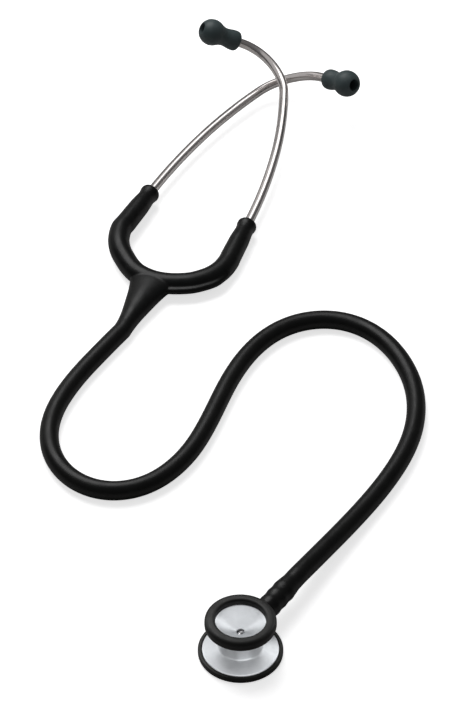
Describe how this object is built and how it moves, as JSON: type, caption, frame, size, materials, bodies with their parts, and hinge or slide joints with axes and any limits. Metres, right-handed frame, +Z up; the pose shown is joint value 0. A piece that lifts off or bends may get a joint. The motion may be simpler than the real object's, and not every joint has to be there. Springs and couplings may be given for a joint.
{
  "type": "acoustic stethoscope",
  "caption": "Acoustic stethoscope lying flat: steel double-sided chestpiece with black rims, looping black tubing, sprung yoke, crossed steel ear tubes and soft ear tips.",
  "frame": {"origin": "centre of the diaphragm's outer face, on the surface the instrument lies on", "axes": "+Z up, from the diaphragm to the bell; +Y towards the ear tips along the length of the laid-out instrument; +X to the right when looking along +Y"},
  "size_m": [0.1747, 0.4179, 0.0458],
  "materials": {
    "yoke_rubber": "satin",
    "tubing_rubber": "satin",
    "rim_rubber": "satin",
    "seal_rubber": "matte",
    "tip_silicone": "matte",
    "tube_steel": "polished",
    "fitting_steel": "polished",
    "stem_steel": "polished",
    "chestpiece_steel": "satin",
    "detent_steel": "satin",
    "spring_steel": "satin",
    "diaphragm_sheet": "glossy"
  },
  "bodies": {
    "yoke": {"yoke_crotch": "yoke_rubber", "binaural_spring": "spring_steel", "tubing": "tubing_rubber", "tubing_cuff": "tubing_rubber", "chest_stem": "stem_steel", "stem_seal": "seal_rubber"},
    "arm_left": {"yoke_arm_left": "yoke_rubber"},
    "arm_right": {"yoke_arm_right": "yoke_rubber"},
    "ear_tube_left": {"ear_tube_left": "tube_steel", "ear_tube_fitting_left": "fitting_steel"},
    "ear_tube_right": {"ear_tube_right": "tube_steel", "ear_tube_fitting_right": "fitting_steel"},
    "ear_tip_left": {"ear_tip_left": "tip_silicone"},
    "ear_tip_right": {"ear_tip_right": "tip_silicone"},
    "chestpiece": {"chestpiece_body": "chestpiece_steel", "bell_rim": "rim_rubber", "diaphragm_rim": "rim_rubber", "stem_collar": "stem_steel", "detent_screw": "detent_steel", "detent_spring": "spring_steel"},
    "diaphragm": {"diaphragm": "diaphragm_sheet"},
    "detent_ball": {"detent_ball": "detent_steel"}
  },
  "joints": [
    {"name": "arm_right_spread", "type": "hinge", "parent": "yoke", "child": "arm_right", "pos_m": [-0.02383, 0.23714, 0.0054], "axis": [0.6752, -0.2481, -0.6947], "range_deg": [0, 36], "stiffness_Nm_per_rad": 0.8, "deforming": ["binaural_spring"]},
    {"name": "arm_left_spread", "type": "hinge", "parent": "yoke", "child": "arm_left", "pos_m": [-0.05312, 0.2509, 0.00575], "axis": [0, 0, 1], "range_deg": [0, 27], "deforming": ["binaural_spring"]},
    {"name": "ear_tube_right_twist", "type": "hinge", "parent": "arm_right", "child": "ear_tube_right", "pos_m": [0.00374, 0.28061, 0.0063], "axis": [0.3193, 0.9472, 0.0301], "range_deg": [-5, 20]},
    {"name": "ear_tube_left_twist", "type": "hinge", "parent": "arm_left", "child": "ear_tube_left", "pos_m": [-0.04321, 0.30523, 0.00672], "axis": [0.4241, 0.9055, -0.0147], "range_deg": [-10, 15]},
    {"name": "ear_tip_right_turn", "type": "hinge", "parent": "ear_tube_right", "child": "ear_tip_right", "pos_m": [-0.00106, 0.39507, 0.03175], "axis": [-0.8579, -0.1433, 0.4934], "continuous": true},
    {"name": "ear_tip_left_turn", "type": "hinge", "parent": "ear_tube_left", "child": "ear_tip_left", "pos_m": [0.04411, 0.38165, 0.01864], "axis": [0.6118, -0.7172, 0.3336], "continuous": true},
    {"name": "chestpiece_turn", "type": "hinge", "parent": "yoke", "child": "chestpiece", "pos_m": [0, 0, 0.0096], "axis": [0.5548, 0.832, 0], "continuous": true},
    {"name": "diaphragm_float", "type": "slide", "parent": "chestpiece", "child": "diaphragm", "axis": [0, 0, 1], "range_m": [0, 0.0004], "stiffness_N_per_m": 8000},
    {"name": "detent_press", "type": "slide", "parent": "chestpiece", "child": "detent_ball", "axis": [-0.832, 0.5548, 0], "range_m": [0, 0.00045], "stiffness_N_per_m": 2000, "deforming": ["detent_spring"]}
  ],
  "couplings": [
    {"joint": "arm_left_spread", "follows": "arm_right_spread", "ratio": 0.75}
  ]
}
